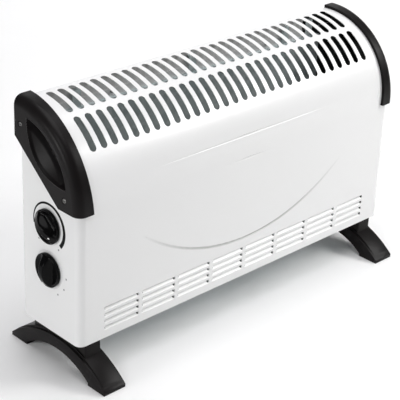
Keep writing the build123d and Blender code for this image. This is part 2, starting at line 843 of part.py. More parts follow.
with BuildPart() as rod_nuts:
    for x in (partition_x - 3, end_plate_x + galvanised):
        with BuildSketch(side_plane(x)):
            with Locations(*rod_spots):
                RegularPolygon(3.8, 6)
                Circle(rod_r, mode=Mode.SUBTRACT)
        extrude(amount=3)
rod_nuts.part.label = "rod_nuts"
export_step(rod_nuts.part, "parts/rod_nuts.step")

coil_left_x = partition_x + 12.0
coil_right_x = end_plate_x - 12.0


def coil_pair(up):
    """Two of the open coils, each as the plain tube that it fills."""
    with BuildPart() as coils:
        with BuildSketch(side_plane(coil_left_x)):
            with Locations(*coil_spots[up::2]):
                Circle(coil_r)
                Circle(coil_r - 1.2, mode=Mode.SUBTRACT)
        extrude(amount=coil_right_x - coil_left_x)
    return coils


lower_coils = coil_pair(0)
lower_coils.part.label = "lower_coils"
export_step(lower_coils.part, "parts/lower_coils.step")

upper_coils = coil_pair(1)
upper_coils.part.label = "upper_coils"
export_step(upper_coils.part, "parts/upper_coils.step")


def coil_ends(x, way):
    """Ceramic bushes that carry the coils' ends through an upright plate, with their pins."""
    with BuildPart() as ends:
        with BuildSketch(side_plane(x)):
            with Locations(*coil_spots):
                Circle(coil_r + 2.4)
        extrude(amount=galvanised)
        with BuildSketch(side_plane(x + (galvanised if way > 0 else 0))):
            with Locations(*coil_spots):
                Circle(coil_r + 4)
        extrude(amount=way * 5)
    return ends


with BuildPart() as left_insulators:
    add(coil_ends(partition_x, 1).part)
    with BuildSketch(side_plane(partition_x - 8)):
        with Locations(*coil_spots):
            Circle(1.5)
    extrude(amount=coil_left_x - partition_x + 8)
left_insulators.part.label = "left_insulators"
export_step(left_insulators.part, "parts/left_insulators.step")

with BuildPart() as right_insulators:
    add(coil_ends(end_plate_x, -1).part)
    with BuildSketch(side_plane(coil_right_x)):
        with Locations(*coil_spots):
            Circle(1.5)
    extrude(amount=end_plate_x - coil_right_x + 8)
right_insulators.part.label = "right_insulators"
export_step(right_insulators.part, "parts/right_insulators.step")

# --- brass links that join the coils' right-hand ends in pairs ----------------------------------
with BuildPart() as coil_links:
    with BuildSketch(side_plane(end_plate_x + 6)):
        for up in (-1, 1):
            with Locations((element_y, element_z + up * element_pitch_z)):
                SlotOverall(2 * element_pitch_y + 8, 8)
        with Locations(*coil_spots):
            Circle(1.5, mode=Mode.SUBTRACT)
    extrude(amount=0.8)
coil_links.part.label = "coil_links"
export_step(coil_links.part, "parts/coil_links.step")

# --- brackets that hang the heat shield from the casing's top back flange -----------------------
bracket_width = 14.0
with BuildPart() as shield_brackets:
    for x in (-212.0, -3.0, 188.0, 240.0):
        with BuildSketch(side_plane(mid_x + x - bracket_width / 2)):
            with BuildLine():
                Polyline(
                    (back_y - 2 * sheet, shield_top),
                    (back_y - 6.2, shield_top),
                    (back_y - 6.2, shield_top + 26),
                    (back_y - sheet, shield_top + 26),
                    (back_y - sheet, shield_top + 24.8),
                    (back_y - 5, shield_top + 24.8),
                    (back_y - 5, shield_top + 1.2),
                    (back_y - 2 * sheet, shield_top + 1.2),
                    close=True,
                )
            make_face()
        extrude(amount=bracket_width)
shield_brackets.part.label = "shield_brackets"
export_step(shield_brackets.part, "parts/shield_brackets.step")

# --- thermal cut-out on the partition, above the element ----------------------------------------
with BuildPart() as thermal_cutout:
    cutout_seat = Plane(
        origin=(partition_x + galvanised, element_y, element_z + 40), x_dir=(0, 1, 0), z_dir=(1, 0, 0)
    )
    with BuildSketch(cutout_seat):
        SlotOverall(32, 9)
    extrude(amount=1)
    with BuildSketch(cutout_seat):
        Circle(8)
    extrude(amount=9)
    fillet(thermal_cutout.faces().sort_by(Axis.X)[-1].edges(), 1)
    with BuildSketch(cutout_seat.offset(9)):
        with GridLocations(7, 1, 2, 1):
            Rectangle(tab_thickness, tab_width)
    extrude(amount=tab_length - 1)
thermal_cutout.part.label = "thermal_cutout"
export_step(thermal_cutout.part, "parts/thermal_cutout.step")

# --- fan: a shaded-pole motor hung in a bridge on the base grille, blowing up at the element ----
fan_floor = body_base + 2 * sheet
bridge_width = 96.0
bridge_depth = 92.0
bridge_top = 122.0
ring_r = fan_r + 2.5
with BuildPart() as fan_bridge:
    with BuildSketch(Plane.XZ.offset(-fan_y - bridge_depth / 2)):
        with Locations((fan_x, fan_floor)):
            Rectangle(bridge_width, bridge_top - fan_floor, align=(Align.CENTER, Align.MIN))
            Rectangle(
                bridge_width - 2.4, bridge_top - fan_floor - 1.2,
                align=(Align.CENTER, Align.MIN), mode=Mode.SUBTRACT,
            )
    extrude(amount=bridge_depth)
    with BuildSketch(Plane.XY.offset(fan_floor)):
        for side in (-1, 1):
            with Locations((fan_x + side * (bridge_width / 2 + 5), fan_y)):
                Rectangle(10.4, 60)
    extrude(amount=1.2)
    with BuildSketch(Plane.XY.offset(bridge_top)):
        with Locations((fan_x, fan_y)):
            Circle(ring_r)
    extrude(amount=-2, mode=Mode.SUBTRACT)
    with BuildSketch(Plane.XY.offset(bridge_top)):
        with Locations((fan_x, fan_y)):
            Circle(ring_r + 1)
            Circle(ring_r, mode=Mode.SUBTRACT)
    extrude(amount=-8)
fan_bridge.part.label = "fan_bridge"
export_step(fan_bridge.part, "parts/fan_bridge.step")

motor_top = motor_z + stator_height
strap_z = motor_top + 9.0
with BuildPart() as motor_strap:
    with BuildSketch(Plane.XY.offset(strap_z)):
        with Locations((fan_x, fan_y)):
            Rectangle(bridge_width - 2.4, 14)
            Circle(6)
        with Locations((fan_x, fan_y)):
            Circle(shaft_r + 1.2, mode=Mode.SUBTRACT)
            with GridLocations(motor_screw_pitch, 1, 2, 1):
                Circle(motor_screw_hole_r, mode=Mode.SUBTRACT)
    extrude(amount=1.2)
motor_strap.part.label = "motor_strap"
export_step(motor_strap.part, "parts/motor_strap.step")

with BuildPart() as motor_stator:
    with BuildSketch(Plane.XY.offset(motor_z)):
        with Locations((fan_x, fan_y)):
            Rectangle(48, 40)
            Circle(rotor_r + 0.35, mode=Mode.SUBTRACT)
            with GridLocations(motor_screw_pitch, 1, 2, 1):
                Circle(motor_screw_hole_r, mode=Mode.SUBTRACT)
        with Locations((fan_x, fan_y + 34)):
            Rectangle(48, 30)
            with Locations((0, -6)):
                Rectangle(28, 20, mode=Mode.SUBTRACT)
    extrude(amount=stator_height)
motor_stator.part.label = "motor_stator"
export_step(motor_stator.part, "parts/motor_stator.step")

with BuildPart() as motor_winding:
    with Locations((fan_x, fan_y + 43.5, motor_z + stator_height / 2)):
        Box(26, 19, stator_height + 8)
        fillet(motor_winding.edges().filter_by(Axis.X), 3)
        Box(27, 11, stator_height, mode=Mode.SUBTRACT)
motor_winding.part.label = "motor_winding"
export_step(motor_winding.part, "parts/motor_winding.step")


def bearing_bridge(z, way):
    """A pressed bridge over the rotor, with the bush that the shaft runs in."""
    with BuildPart() as bridge:
        with BuildSketch(Plane.XY.offset(z)):
            with Locations((fan_x, fan_y)):
                Rectangle(44, 12)
                Rectangle(26, 13, mode=Mode.SUBTRACT)
        extrude(amount=way * 4)
        with BuildSketch(Plane.XY.offset(z + way * 2.8)):
            with Locations((fan_x, fan_y)):
                Rectangle(44, 12)
        extrude(amount=way * 1.2)
        with BuildSketch(Plane.XY.offset(z + way * 1.2)):
            with Locations((fan_x, fan_y)):
                Circle(4.5)
        extrude(amount=way * 3.6)
        with BuildSketch(Plane.XY.offset(z - way)):
            with Locations((fan_x, fan_y)):
                Circle(shaft_r + shaft_fit)
                with GridLocations(motor_screw_pitch, 1, 2, 1):
                    Circle(motor_screw_hole_r)
        extrude(amount=way * 8, mode=Mode.SUBTRACT)
    return bridge


upper_bearing = bearing_bridge(motor_top, 1)
upper_bearing.part.label = "upper_bearing"
export_step(upper_bearing.part, "parts/upper_bearing.step")

lower_bearing = bearing_bridge(motor_z, -1)
lower_bearing.part.label = "lower_bearing"
export_step(lower_bearing.part, "parts/lower_bearing.step")

with BuildPart() as motor_screws:
    for side in (-1, 1):
        with Locations((fan_x + side * motor_screw_pitch / 2, fan_y, strap_z + 1.2)):
            add(pan_screw(motor_screw_r, strap_z + 1.2 - motor_z + 4, 2.8, 1.8))
motor_screws.part.label = "motor_screws"
export_step(motor_screws.part, "parts/motor_screws.step")

with BuildPart() as fan_rotor:
    with BuildSketch(Plane.XY.offset(motor_z + 0.5)):
        with Locations((fan_x, fan_y)):
            Circle(rotor_r)
    extrude(amount=stator_height - 1)
    with BuildSketch(Plane.XY.offset(motor_z)):
        with Locations((fan_x, fan_y)):
            Circle(shaft_r)
    extrude(amount=stator_height, mode=Mode.SUBTRACT)
fan_rotor.part.label = "fan_rotor"
export_step(fan_rotor.part, "parts/fan_rotor.step")

hub_base = strap_z + 4.0
hub_height = 18.0
with BuildPart() as fan_shaft:
    with BuildSketch(Plane.XY.offset(motor_z - 4)):
        with Locations((fan_x, fan_y)):
            Circle(shaft_r)
    extrude(amount=hub_base + hub_height - 2 - motor_z + 4)
fan_shaft.part.label = "fan_shaft"
export_step(fan_shaft.part, "parts/fan_shaft.step")

with BuildPart() as fan_impeller:
    with BuildSketch(Plane.XY.offset(hub_base)):
        with Locations((fan_x, fan_y)):
            Circle(fan_hub_r)
    extrude(amount=hub_height)
    fillet(fan_impeller.faces().sort_by(Axis.Z)[-1].edges(), 3)
    for blade in range(fan_blades):
        turn = math.radians(360 * blade / fan_blades)
        outward = (math.cos(turn), math.sin(turn), 0)
        root = Plane(
            origin=Vector(fan_x, fan_y, hub_base + 8) + Vector(*outward) * (fan_hub_r - 2),
            x_dir=(-outward[1], outward[0], 0),
            z_dir=outward,
        )
        tip = root.offset(fan_r - fan_hub_r + 2)
        with BuildSketch(root):
            with BuildLine():
                ThreePointArc((-7, -6), (0, 1.5), (7, 6))
                ThreePointArc((7, 6), (0.4, 0), (-7, -6))
            make_face()
        with BuildSketch(tip):
            with BuildLine():
                ThreePointArc((-15, -5.5), (0, 2.0), (15, 5.5))
                ThreePointArc((15, 5.5), (0.4, 0.6), (-15, -5.5))
            make_face()
        loft()
    with BuildSketch(Plane.XY.offset(hub_base - 1)):
        with Locations((fan_x, fan_y)):
            Circle(shaft_r)
    extrude(amount=hub_height - 1, mode=Mode.SUBTRACT)
fan_impeller.part.label = "fan_impeller"
export_step(fan_impeller.part, "parts/fan_impeller.step")


# --- wiring: each wire runs straight between its ends, with one bend radius throughout ----------
selector_tab_x = left_x + sheet + nut_thickness + selector_depth + tab_length
thermostat_tab_x = left_x + sheet + nut_thickness + thermostat_depth + tab_length
tab_high_z = selector_z + switch_height / 6
tab_low_z = selector_z - switch_height / 6
tab_front_y = dial_y - selector_width / 4.4
tab_back_y = dial_y + selector_width / 4.4
thermostat_front_y = dial_y - thermostat_width / 4.4
thermostat_back_y = dial_y + thermostat_width / 4.4
pin_x = partition_x - 8
post_z = body_base + 2 * sheet + 18


def wire(points, bend):
    """An insulated wire along these points, with its corners rounded to this radius."""
    with BuildPart() as lead:
        with BuildLine() as route:
            FilletPolyline(*points, radius=bend)
        with BuildSketch(Plane(origin=route.line @ 0, z_dir=route.line % 0)):
            Circle(wire_r)
        sweep()
    return lead.part


with BuildPart() as live_wire:
    add(wire((
        (block_x - 9, block_y, post_z),
        (block_x - 9, block_y, 112),
        (selector_tab_x + 7, tab_back_y, tab_low_z),
        (selector_tab_x, tab_back_y, tab_low_z),
    ), 2.2))
live_wire.part.label = "live_wire"
export_step(live_wire.part, "parts/live_wire.step")

with BuildPart() as neutral_wire:
    add(wire((
        (block_x, block_y, post_z),
        (block_x, block_y, element_z - element_pitch_z),
        (pin_x, block_y, element_z - element_pitch_z),
    ), 4))
neutral_wire.part.label = "neutral_wire"
export_step(neutral_wire.part, "parts/neutral_wire.step")

with BuildPart() as earth_wire:
    add(wire((
        (block_x + 9, block_y, post_z),
        (block_x + 9, block_y, 112),
        (partition_x, block_y, 112),
    ), 4))
earth_wire.part.label = "earth_wire"
export_step(earth_wire.part, "parts/earth_wire.step")

with BuildPart() as heater_wires:
    add(wire((
        (thermostat_tab_x, thermostat_back_y, thermostat_z),
        (pin_x - 10, thermostat_back_y, thermostat_z),
        (pin_x - 10, element_y - element_pitch_y, element_z - element_pitch_z),
        (pin_x, element_y - element_pitch_y, element_z - element_pitch_z),
    ), 3))
    add(wire((
        (selector_tab_x, tab_front_y, tab_low_z),
        (pin_x - 5.5, tab_front_y, tab_low_z),
        (pin_x - 5.5, element_y - element_pitch_y, element_z + element_pitch_z),
        (pin_x, element_y - element_pitch_y, element_z + element_pitch_z),
    ), 2.5))
heater_wires.part.label = "heater_wires"
export_step(heater_wires.part, "parts/heater_wires.step")

with BuildPart() as thermostat_wire:
    add(wire((
        (selector_tab_x, tab_front_y, tab_high_z),
        (selector_tab_x + 2.9, tab_front_y, tab_high_z),
        (selector_tab_x + 2.9, thermostat_front_y, thermostat_z),
        (thermostat_tab_x, thermostat_front_y, thermostat_z),
    ), 1.6))
thermostat_wire.part.label = "thermostat_wire"
export_step(thermostat_wire.part, "parts/thermostat_wire.step")

with BuildPart() as fan_wire:
    add(wire((
        (selector_tab_x, tab_back_y, tab_high_z),
        (selector_tab_x + 11, tab_back_y, tab_high_z),
        (selector_tab_x + 11, wire_hole[0], wire_hole[1]),
        (partition_x + 12, wire_hole[0], wire_hole[1]),
        (partition_x + 40, block_y + 18, motor_top + 2),
        (fan_x - 13, block_y + 18, motor_top + 2),
    ), 5))
fan_wire.part.label = "fan_wire"
export_step(fan_wire.part, "parts/fan_wire.step")
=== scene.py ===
import bpy
import bmesh
import json
import math
from mathutils import Matrix, Vector


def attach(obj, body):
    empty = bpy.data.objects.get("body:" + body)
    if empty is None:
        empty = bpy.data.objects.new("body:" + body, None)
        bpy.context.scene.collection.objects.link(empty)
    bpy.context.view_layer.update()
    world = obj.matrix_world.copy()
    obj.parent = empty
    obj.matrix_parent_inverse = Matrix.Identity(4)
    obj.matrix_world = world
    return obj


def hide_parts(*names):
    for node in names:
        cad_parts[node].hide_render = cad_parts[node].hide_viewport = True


# The fan convector heater's looks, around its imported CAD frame. Metres, same frame as the CAD.
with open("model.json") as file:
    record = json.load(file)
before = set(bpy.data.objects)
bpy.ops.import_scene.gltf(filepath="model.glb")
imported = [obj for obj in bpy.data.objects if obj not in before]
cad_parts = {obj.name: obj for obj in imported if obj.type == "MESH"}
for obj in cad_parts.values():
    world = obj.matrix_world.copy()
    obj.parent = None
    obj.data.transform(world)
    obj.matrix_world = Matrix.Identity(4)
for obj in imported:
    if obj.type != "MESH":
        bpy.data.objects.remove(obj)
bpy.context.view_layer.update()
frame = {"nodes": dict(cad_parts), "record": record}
scene = bpy.context.scene
scene.view_settings.view_transform = "Standard"

# --- camera at the photograph's angle ---------------------------------------------------------
AZIMUTH, ELEVATION, ROLL = math.radians(-44.862), math.radians(26.578), math.radians(2.511)
CAMERA_AIM, CAMERA_DISTANCE, CAMERA_LENS = Vector((-0.03091, 0, 0.1669)), 1.92236, 121.58
back = Vector((
    math.sin(AZIMUTH) * math.cos(ELEVATION),
    -math.cos(AZIMUTH) * math.cos(ELEVATION),
    math.sin(ELEVATION),
))
right = Vector((0, 0, 1)).cross(back).normalized()
up = back.cross(right)
cam_right = right * math.cos(ROLL) + up * math.sin(ROLL)
cam_up = up * math.cos(ROLL) - right * math.sin(ROLL)
camera_data = bpy.data.cameras.new("camera")
camera_data.lens = CAMERA_LENS
camera_data.sensor_width = 36
camera_data.clip_start = 0.05
camera_data.clip_end = 60
camera = bpy.data.objects.new("camera", camera_data)
scene.collection.objects.link(camera)
camera.matrix_world = Matrix.Translation(CAMERA_AIM + back * CAMERA_DISTANCE) @ Matrix((
    (cam_right.x, cam_up.x, back.x, 0),
    (cam_right.y, cam_up.y, back.y, 0),
    (cam_right.z, cam_up.z, back.z, 0),
    (0, 0, 0, 1),
))
scene.camera = camera


# --- materials ----------------------------------------------------------------------------------
# places on the casing that the white coat's masks use, in metres
CASING_MIDDLE = 0.0045
SMILE_Z, SMILE_R = 0.4335, 0.314                # centre and radius of the smiling line
FRONT_FACE = -0.055                             # just behind the front sheet
LOUVRE_START, LOUVRE_PITCH = -0.2565, 0.066     # left end of the first column, and from column to column
LOUVRE_HALF, LOUVRE_SHADE_START = 0.03, 0.0278      # half a strip's length, and where the painted shade at its end starts
LOUVRE_TOP, LOUVRES_REACH = 0.112, 0.27
LOUVRE_NEAR, LOUVRE_FAR = -0.0574, -0.05        # how far the strips' pressed-in part reaches
# the white coat paints the inner side of the side sheets and of the rounded sheet near black as shade, in
# front of BACK_PANEL and right of RIGHT_BAY
SIDE_SHEETS, BACK_PANEL, RIGHT_BAY = 0.295, 0.05, 0.235
MIX_FIRST, MIX_SECOND, MIX_RESULT = 6, 7, 2     # the colour sockets of a Mix node


class Nodes:
    """Short names for the nodes of one material."""

    def __init__(self, name):
        self.material = bpy.data.materials.new(name)
        self.material.use_nodes = True
        self.tree = self.material.node_tree
        self.shader = self.tree.nodes["Principled BSDF"]
        self.coords = self.tree.nodes.new("ShaderNodeTexCoord").outputs["Object"]

    def add(self, kind, **values):
        node = self.tree.nodes.new(kind)
        for key, value in values.items():
            setattr(node, key, value)
        return node

    def link(self, source, target):
        self.tree.links.new(source, target)

    def stretched(self, stretch):
        mapping = self.add("ShaderNodeMapping")
        mapping.inputs["Scale"].default_value = stretch
        self.link(self.coords, mapping.inputs["Vector"])
        return mapping.outputs["Vector"]

    def noise(self, scale, detail=3.0, rough=0.55, stretch=None):
        node = self.add("ShaderNodeTexNoise")
        node.inputs["Scale"].default_value = scale
        node.inputs["Detail"].default_value = detail
        node.inputs["Roughness"].default_value = rough
        self.link(self.stretched(stretch) if stretch else self.coords, node.inputs["Vector"])
        return node.outputs["Fac"]

    def cells(self, scale, output="Color"):
        node = self.add("ShaderNodeTexVoronoi")
        node.inputs["Scale"].default_value = scale
        self.link(self.coords, node.inputs["Vector"])
        return node.outputs[output]

    def ramp(self, source, stops):
        node = self.add("ShaderNodeValToRGB")
        while len(node.color_ramp.elements) < len(stops):
            node.color_ramp.elements.new(0.5)
        for element, (place, colour) in zip(node.color_ramp.elements, stops):
            element.position = place
            element.color = (*colour, 1)
        self.link(source, node.inputs["Fac"])
        return node.outputs["Color"]

    def spread(self, source, low, high, source_low=0.3, source_high=0.7):
        node = self.add("ShaderNodeMapRange")
        limits = {"From Min": source_low, "From Max": source_high, "To Min": low, "To Max": high}
        for key, value in limits.items():
            node.inputs[key].default_value = value
        self.link(source, node.inputs["Value"])
        return node.outputs["Result"]

    def maths(self, operation, first, second=None):
        node = self.add("ShaderNodeMath", operation=operation)
        for source, socket in ((first, node.inputs[0]), (second, node.inputs[1])):
            if isinstance(source, float):
                socket.default_value = source
            elif source is not None:
                self.link(source, socket)
        return node.outputs[0]

    def bump(self, height, distance, strength=1.0, under=None):
        node = self.add("ShaderNodeBump")
        node.inputs["Distance"].default_value = distance
        node.inputs["Strength"].default_value = strength
        self.link(height, node.inputs["Height"])
        if under:
            self.link(under, node.inputs["Normal"])
        return node.outputs["Normal"]

    def shaded_line(self, tone, place):
        """The tone with painted shade: greyed down in the smiling line's groove, and less so towards its
        ends.
        """
        arm_x = self.maths("SUBTRACT", place.outputs["X"], CASING_MIDDLE)
        arm_z = self.maths("SUBTRACT", place.outputs["Z"], SMILE_Z)
        squares = self.maths("ADD", self.maths("POWER", arm_x, 2.0), self.maths("POWER", arm_z, 2.0))
        off_line = self.maths("ABSOLUTE", self.maths("SUBTRACT", self.maths("SQRT", squares), SMILE_R))
        near = self.spread(off_line, 1.0, 0.0, 0.0007, 0.0026)
        fade = self.spread(place.outputs["Z"], 1.0, 0.0, 0.125, 0.19)
        front = self.maths("LESS_THAN", place.outputs["Y"], FRONT_FACE)
        mix = self.add("ShaderNodeMix", data_type="RGBA")
        self.link(self.maths("MULTIPLY", self.maths("MULTIPLY", near, fade), front), mix.inputs["Factor"])
        self.link(tone, mix.inputs[MIX_FIRST])
        # the grey of the painted shade in the groove
        mix.inputs[MIX_SECOND].default_value = (0.5, 0.505, 0.495, 1)
        return mix.outputs[MIX_RESULT]

    def painted_end_shade(self, place):
        """1 on both ends of each louvre's strip, which are painted near black as shade, and 0 elsewhere."""
        along = self.maths("MODULO", self.maths("ADD", place.outputs["X"], -LOUVRE_START), LOUVRE_PITCH)
        off_centre = self.maths("ABSOLUTE", self.maths("SUBTRACT", along, LOUVRE_HALF))
        at_end = self.maths("GREATER_THAN", off_centre, LOUVRE_SHADE_START)
        pressed_in = self.maths("GREATER_THAN", place.outputs["Y"], LOUVRE_NEAR)
        in_front = self.maths("LESS_THAN", place.outputs["Y"], LOUVRE_FAR)
        low_down = self.maths("LESS_THAN", place.outputs["Z"], LOUVRE_TOP)
        off_middle = self.maths("ABSOLUTE", self.maths("SUBTRACT", place.outputs["X"], CASING_MIDDLE))
        clear_of_corners = self.maths("LESS_THAN", off_middle, LOUVRES_REACH)
        mask = self.maths("MULTIPLY", at_end, pressed_in)
        for part in (in_front, low_down, clear_of_corners):
            mask = self.maths("MULTIPLY", mask, part)
        return mask

    def set(self, **values):
        for key, value in values.items():
            self.shader.inputs[key.replace("_", " ")].default_value = value

    def finish(self, colour=None, roughness=None, normal=None):
        for key, source in (("Base Color", colour), ("Roughness", roughness), ("Normal", normal)):
            if source is not None:
                self.link(source, self.shader.inputs[key])
        return self.material


def surface(name, dark, light, rough, blotch=18.0, grain=1500.0, grain_depth=0.00002, stretch=None,
            **values):
    """An even material with slight blotches of colour and gloss, and a fine grain."""
    n = Nodes(name)
    n.set(**values)
    tone = n.ramp(n.noise(blotch, 4.0), ((0.3, dark), (0.7, light)))
    gloss = n.spread(n.noise(blotch * 3.1, 3.0), rough[0], rough[1])
    relief = n.bump(n.noise(grain, 2.0, stretch=stretch), grain_depth)
    return n.finish(tone, gloss, relief)


def galvanised(name, dark, light, rough, scale=95.0):
    """Zinc-coated sheet: spangles that differ a little in tone and gloss, with rolling marks."""
    n = Nodes(name)
    n.set(Metallic=0.2)
    spangle = n.cells(scale)
    tone = n.ramp(spangle, ((0.2, dark), (0.8, light)))
    gloss = n.spread(spangle, rough[0], rough[1], 0.2, 0.8)
    rolled = n.noise(60.0, 3.0, stretch=(0.5, 14.0, 14.0))
    return n.finish(tone, gloss, n.bump(rolled, 0.00003))


def white_coat(name):
    """White powder coat with a faint orange peel outside. Painted shade: the sheet's inner side and the
    louvre strips' ends are painted near black, and the smiling line a darker grey.
    """
    n = Nodes(name)
    n.set(Specular_IOR_Level=0.42, Coat_Weight=0.2, Coat_Roughness=0.2)
    tone = n.ramp(n.noise(4.0, 2.0), ((0.3, (0.856, 0.858, 0.854)), (0.7, (0.862, 0.862, 0.864))))
    # painted shade: the near-black tone for the sheet's inner side and the louvre strips' ends
    inner = n.ramp(n.noise(30.0, 4.0), ((0.3, (0.035, 0.04, 0.04)), (0.7, (0.06, 0.066, 0.066))))
    facing = n.add("ShaderNodeSeparateXYZ")
    n.link(n.add("ShaderNodeNewGeometry").outputs["Normal"], facing.inputs[0])
    place = n.add("ShaderNodeSeparateXYZ")
    n.link(n.coords, place.inputs[0])
    outward = []
    for axis, centre in (("Y", 0.03), ("Z", 0.085)):
        arm = n.maths("SUBTRACT", place.outputs[axis], centre)
        outward.append(n.maths("MULTIPLY", arm, facing.outputs[axis]))
    round_sheet = n.maths("LESS_THAN", n.maths("ADD", *outward), -0.012)
    arm = n.maths("SUBTRACT", place.outputs["X"], CASING_MIDDLE)
    at_side = n.maths("GREATER_THAN", n.maths("ABSOLUTE", arm), SIDE_SHEETS)
    faces_in = n.maths("LESS_THAN", n.maths("MULTIPLY", arm, facing.outputs["X"]), -0.1)
    side_sheet = n.maths("MULTIPLY", at_side, faces_in)
    # painted shade: the inner side gets the near-black tone in front of the back panel and in the right-hand
    # bay
    painted_shade_zone = n.maths("MAXIMUM", n.maths("LESS_THAN", place.outputs["Y"], BACK_PANEL),
                   n.maths("GREATER_THAN", place.outputs["X"], RIGHT_BAY))
    mix = n.add("ShaderNodeMix", data_type="RGBA")
    painted_inner_shade = n.maths("MULTIPLY", painted_shade_zone, n.maths("MAXIMUM", round_sheet, side_sheet))
    # painted shade: the inner side and the louvre strips' ends take the near-black tone
    n.link(n.maths("MAXIMUM", painted_inner_shade, n.painted_end_shade(place)), mix.inputs["Factor"])
    n.link(n.shaded_line(tone, place), mix.inputs[MIX_FIRST])
    n.link(inner, mix.inputs[MIX_SECOND])
    gloss = n.spread(n.noise(9.0), 0.24, 0.27)
    peel = n.bump(n.noise(620.0, 2.0), 0.00001, 0.4)
    return n.finish(mix.outputs[MIX_RESULT], gloss, peel)


def mica_sheet(name):
    """Pressed mica: small flakes that differ in tone and gloss."""
    n = Nodes(name)
    n.set(Specular_IOR_Level=0.6)
    flakes = n.cells(260.0)
    stops = ((0.15, (0.36, 0.27, 0.15)), (0.5, (0.55, 0.44, 0.28)), (0.85, (0.68, 0.6, 0.43)))
    tone = n.ramp(flakes, stops)
    return n.finish(tone, n.spread(flakes, 0.25, 0.55, 0.2, 0.8), n.bump(n.cells(260.0, "Distance"), 0.0001))


def striped_wire(name):
    """Green insulation with a yellow stripe that winds round it."""
    n = Nodes(name)
    wave = n.add("ShaderNodeTexWave", bands_direction="DIAGONAL")
    wave.inputs["Scale"].default_value = 60.0
    wave.inputs["Distortion"].default_value = 0.4
    n.link(n.coords, wave.inputs["Vector"])
    tone = n.ramp(wave.outputs["Fac"], ((0.48, (0.03, 0.26, 0.05)), (0.52, (0.75, 0.62, 0.03))))
    return n.finish(tone, n.spread(n.noise(90.0), 0.35, 0.5), n.bump(n.noise(1800.0), 0.00002))


MATERIALS = {
    "white_steel": white_coat("white_steel"),
    "galvanised_steel": galvanised("galvanised_steel", (0.58, 0.67, 0.68), (0.72, 0.8, 0.81), (0.34, 0.5)),
    "screw_steel": surface(
        "screw_steel", (0.1, 0.1, 0.1), (0.22, 0.22, 0.21), (0.18, 0.34), 160.0, 900.0, Metallic=1.0),
    "black_plastic": surface(
        "black_plastic", (0.0066, 0.0054, 0.0056), (0.0088, 0.0074, 0.0076), (0.32, 0.4), 22.0, 2400.0,
        0.00003, Specular_IOR_Level=0.12),
    "gloss_black_plastic": surface(
        "gloss_black_plastic", (0.002, 0.002, 0.0022), (0.0035, 0.0035, 0.0037), (0.07, 0.13), 45.0, 500.0,
        0.00001, Specular_IOR_Level=0.09),
    "white_plastic": surface("white_plastic", (0.72, 0.72, 0.7), (0.85, 0.85, 0.83), (0.3, 0.42), 120.0),
    "spindle_plastic": surface(
        "spindle_plastic", (0.03, 0.026, 0.022), (0.05, 0.044, 0.036), (0.38, 0.55), 60.0),
    "mica": mica_sheet("mica"),
    "resistance_wire": surface(
        "resistance_wire", (0.14, 0.12, 0.12), (0.32, 0.28, 0.26), (0.35, 0.6), 210.0, Metallic=0.9),
    "ceramic": surface("ceramic", (0.68, 0.66, 0.6), (0.84, 0.82, 0.77), (0.5, 0.75), 90.0, 1200.0, 0.00005),
    "brass": surface("brass", (0.55, 0.38, 0.13), (0.75, 0.56, 0.25), (0.22, 0.42), 130.0, Metallic=1.0),
    "lamination_steel": surface(
        "lamination_steel", (0.16, 0.16, 0.17), (0.3, 0.3, 0.32), (0.35, 0.6), 80.0, 90.0, 0.0003,
        stretch=(0.2, 0.2, 24.0), Metallic=0.9),
    "enamelled_copper": surface(
        "enamelled_copper", (0.3, 0.08, 0.02), (0.52, 0.2, 0.06), (0.2, 0.38), 70.0, 120.0, 0.0003,
        stretch=(9.0, 0.4, 0.4), Metallic=0.3),
    "bearing_alloy": surface(
        "bearing_alloy", (0.45, 0.45, 0.43), (0.62, 0.62, 0.6), (0.3, 0.5), 110.0, Metallic=0.95),
    "fan_plastic": surface("fan_plastic", (0.012, 0.012, 0.012), (0.022, 0.022, 0.022), (0.32, 0.5), 60.0),
    "brown_wire": surface("brown_wire", (0.14, 0.05, 0.02), (0.2, 0.08, 0.035), (0.35, 0.5), 90.0),
    "blue_wire": surface("blue_wire", (0.02, 0.08, 0.36), (0.035, 0.13, 0.48), (0.35, 0.5), 90.0),
    "earth_wire_green": striped_wire("earth_wire_green"),
    "printed_black": surface(
        "printed_black", (0.004, 0.004, 0.004), (0.008, 0.008, 0.008), (0.5, 0.6), 300.0,
        Specular_IOR_Level=0.08),
    "printed_grey": surface("printed_grey", (0.16, 0.16, 0.17), (0.24, 0.24, 0.25), (0.45, 0.6), 300.0),
    "printed_pale": surface("printed_pale", (0.5, 0.5, 0.52), (0.6, 0.6, 0.62), (0.4, 0.5), 300.0),
    "black_wire": surface("black_wire", (0.01, 0.01, 0.01), (0.02, 0.02, 0.02), (0.5, 0.7), 90.0),
}
node_slots = {part["node"]: part["material_slot"] for part in frame["record"]["subparts"]}
for node_name, node in frame["nodes"].items():
    node.data.materials.clear()
    node.data.materials.append(MATERIALS[node_slots[node_name]])


# --- pieces that stand for plainer CAD shapes -------------------------------------------------------
MM = 0.001
MID_X, LEFT_X = 4.5, -299.0                     # the casing's middle and left side, in millimetres
CURVE_Y, CURVE_Z = 59.5, 253.0                  # centre of the quarter round
DIAL_Y = 3.5
THERMOSTAT_Z, SELECTOR_Z = 213.5, 149.5


def smooth(value, start, end):
    """Rises smoothly from 0 at start to 1 at end."""
    t = min(1.0, max(0.0, (value - start) / (end - start)))
    return t * t * (3 - 2 * t)


